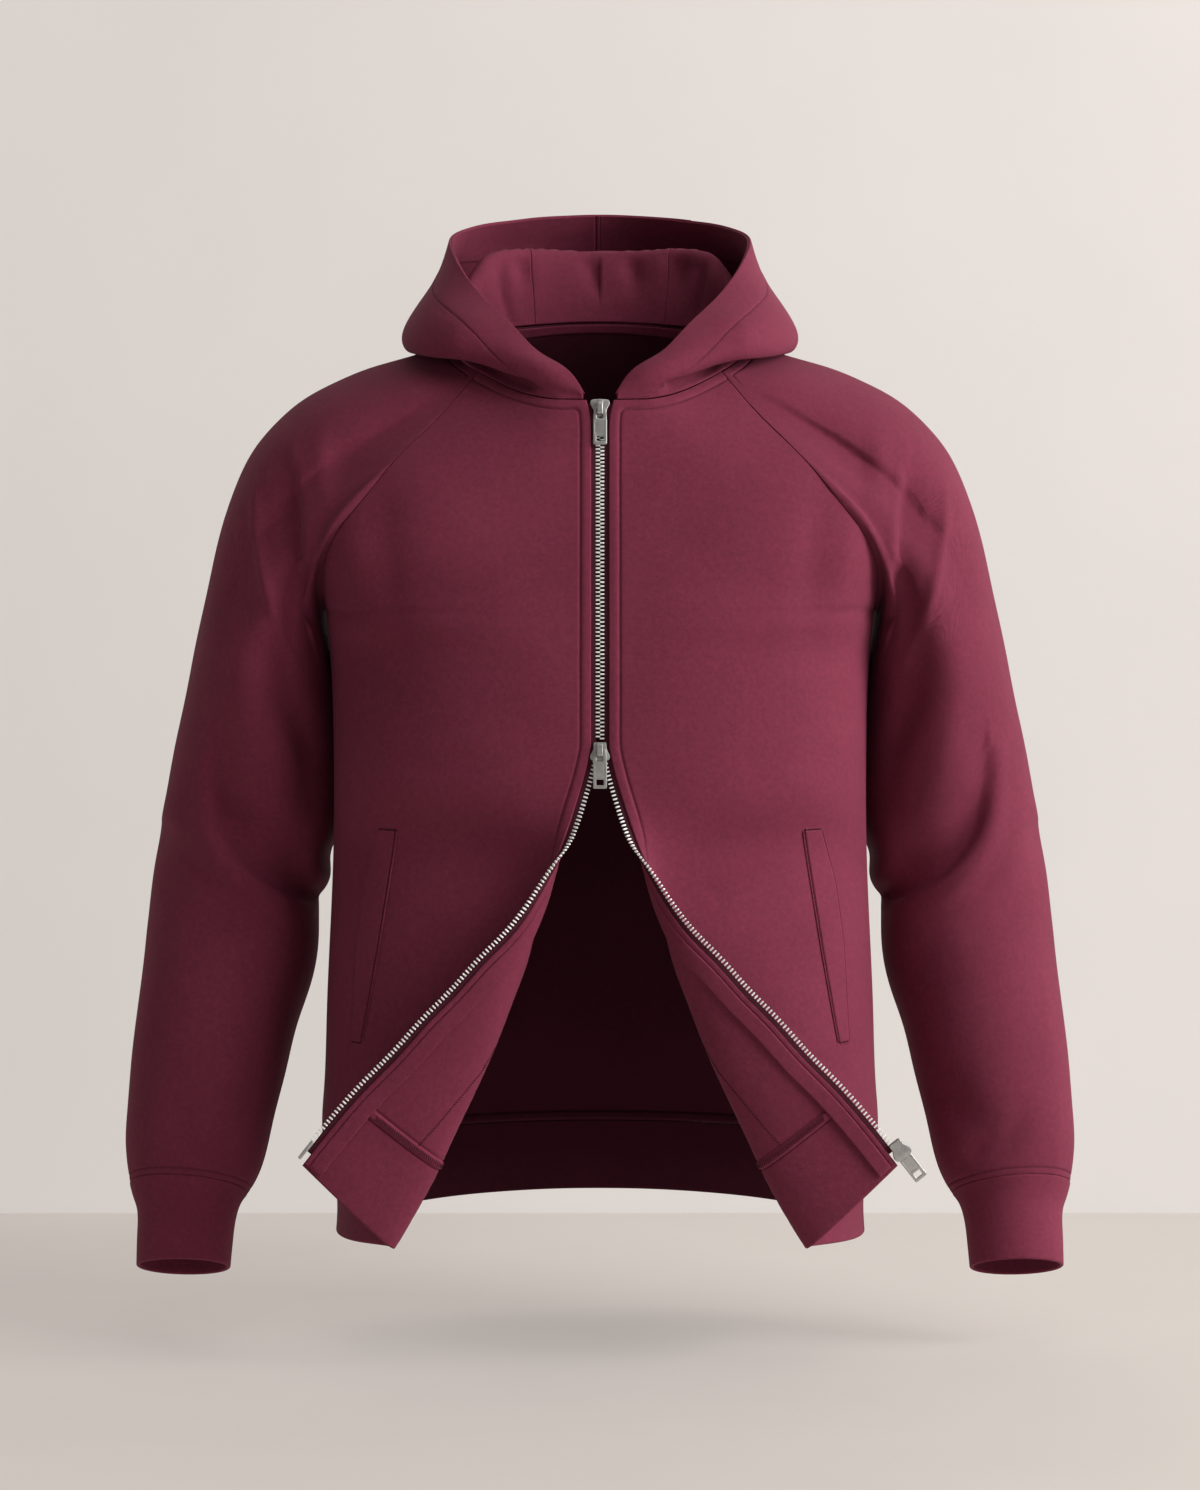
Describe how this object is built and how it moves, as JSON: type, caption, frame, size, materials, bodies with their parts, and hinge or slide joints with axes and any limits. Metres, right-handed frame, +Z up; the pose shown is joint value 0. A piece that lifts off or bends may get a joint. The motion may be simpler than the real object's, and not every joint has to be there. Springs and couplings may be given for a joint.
{
  "type": "zip-up hoodie",
  "caption": "Heavy fleece hoodie, filled out as worn with no wearer: raglan sleeves, folded-down hood, slanted pockets, and a two-way zip open below the chest with both fronts rolled back.",
  "frame": {"origin": "the middle of the neck opening, level with the tops of the shoulders, where the wearer carries it", "axes": "+Z up the body, -Y out of the front, +X towards the wearer's left side"},
  "size_m": [0.7536, 0.3694, 0.8703],
  "materials": {
    "fleece": "matt brushed knit",
    "tape": "matt twill",
    "zip_teeth": "satin",
    "zip_metal": "polished"
  },
  "bodies": {
    "garment": {"back": "fleece", "front_left": "fleece", "front_right": "fleece", "hem_band": "fleece", "sleeve_left": "fleece", "sleeve_right": "fleece", "cuff_left": "fleece", "cuff_right": "fleece", "hood_centre": "fleece", "hood_side_left": "fleece", "hood_side_right": "fleece", "hood_facing_left": "fleece", "hood_facing_right": "fleece", "neck_tape": "tape", "pocket_welt_left": "fleece", "pocket_welt_right": "fleece", "zip_tape_left": "tape", "zip_tape_right": "tape", "zip_facing_left": "tape", "zip_facing_right": "tape", "zip_chain": "zip_teeth", "zip_teeth_left": "zip_teeth", "zip_teeth_right": "zip_teeth", "insertion_pin": "zip_teeth", "slider_top": "zip_metal", "slider_lower": "zip_metal", "slider_end": "zip_metal"},
    "top_tab": {"pull_tab_top": "zip_metal"},
    "lower_tab": {"pull_tab_lower": "zip_metal"},
    "end_tab": {"pull_tab_end": "zip_metal"}
  },
  "joints": [
    {"name": "top_tab_lift", "type": "hinge", "parent": "garment", "child": "top_tab", "pos_m": [0, -0.10133, -0.0536], "axis": [-1, 0, 0], "range_deg": [0, 150]},
    {"name": "lower_tab_lift", "type": "hinge", "parent": "garment", "child": "lower_tab", "pos_m": [0, -0.13621, -0.31588], "axis": [-1, 0, 0], "range_deg": [0, 150]},
    {"name": "end_tab_lift", "type": "hinge", "parent": "garment", "child": "end_tab", "pos_m": [0.22256, -0.16452, -0.61307], "axis": [0.788, 0.0372, 0.6145], "range_deg": [0, 150]}
  ]
}
